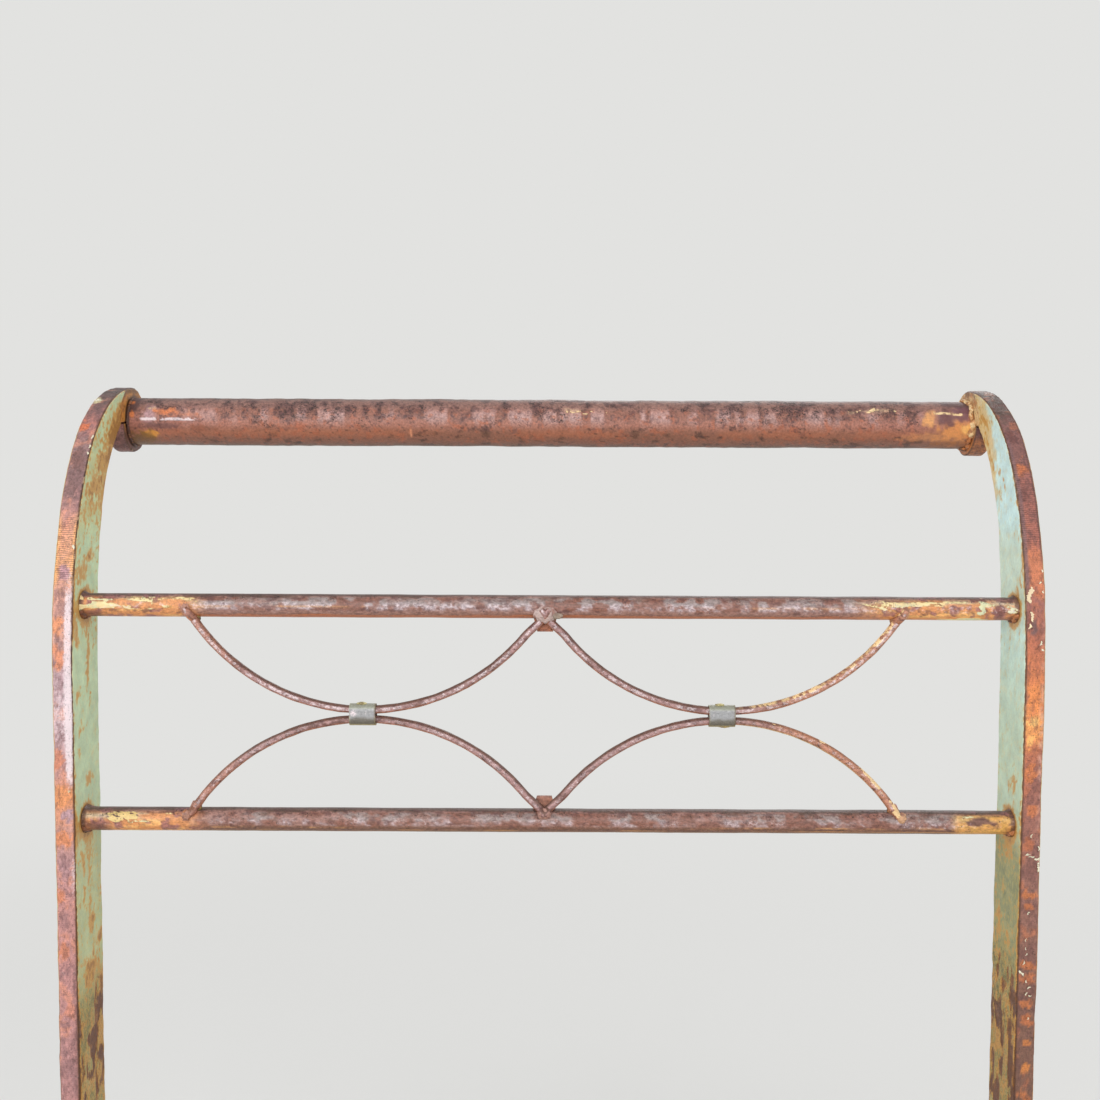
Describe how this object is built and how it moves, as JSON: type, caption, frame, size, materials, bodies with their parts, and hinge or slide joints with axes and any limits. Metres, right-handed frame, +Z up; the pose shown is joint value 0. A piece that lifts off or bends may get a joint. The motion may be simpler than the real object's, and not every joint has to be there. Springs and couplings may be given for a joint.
{
  "type": "garden chair",
  "caption": "Armless garden chair of flat bar with a thick top tube, back rods joined by clipped curved rods, and a seat of flat slats, in rusted and peeling paint.",
  "frame": {"origin": "centre of the chair's bounding box, on the floor under its feet", "axes": "+Z up, the chair faces -Y, and +X is to the right of someone who looks at its front"},
  "size_m": [0.5, 0.5694, 0.89],
  "materials": {
    "side_bar_paint": "pale sage paint peeling over orange and brown rust, lightly waxed",
    "seat_paint": "pale green paint worn through to rust along the edges",
    "tube_rust": "copper red rust with purple brown mottling and traces of paint, satin",
    "rod_rust": "mauve brown rust with pale grey patches and ochre traces of paint, satin",
    "clip_metal": "greyed pale green sheet metal, satin"
  },
  "bodies": {
    "root": {"side_post_left": "side_bar_paint", "side_post_right": "side_bar_paint", "top_tube": "tube_rust", "upper_rod": "rod_rust", "lower_rod": "rod_rust", "arc_upper_left": "rod_rust", "arc_upper_right": "rod_rust", "arc_lower_left": "rod_rust", "arc_lower_right": "rod_rust", "clip_left": "clip_metal", "clip_right": "clip_metal", "tab_upper_left": "rod_rust", "tab_upper_middle": "rod_rust", "tab_upper_right": "rod_rust", "tab_lower_left": "rod_rust", "tab_lower_middle": "rod_rust", "tab_lower_right": "rod_rust", "front_leg_left": "side_bar_paint", "front_leg_right": "side_bar_paint", "seat_side_rail_left": "side_bar_paint", "seat_side_rail_right": "side_bar_paint", "seat_front_rail": "side_bar_paint", "seat_rear_rail": "side_bar_paint", "seat_slat_01": "seat_paint", "seat_slat_02": "seat_paint", "seat_slat_03": "seat_paint", "seat_slat_04": "seat_paint", "seat_slat_05": "seat_paint", "seat_slat_06": "seat_paint", "seat_slat_07": "seat_paint", "seat_slat_08": "seat_paint", "seat_slat_09": "seat_paint", "seat_slat_10": "seat_paint", "stretcher_left": "rod_rust", "stretcher_right": "rod_rust", "stretcher_cross": "rod_rust"}
  },
  "joints": []
}
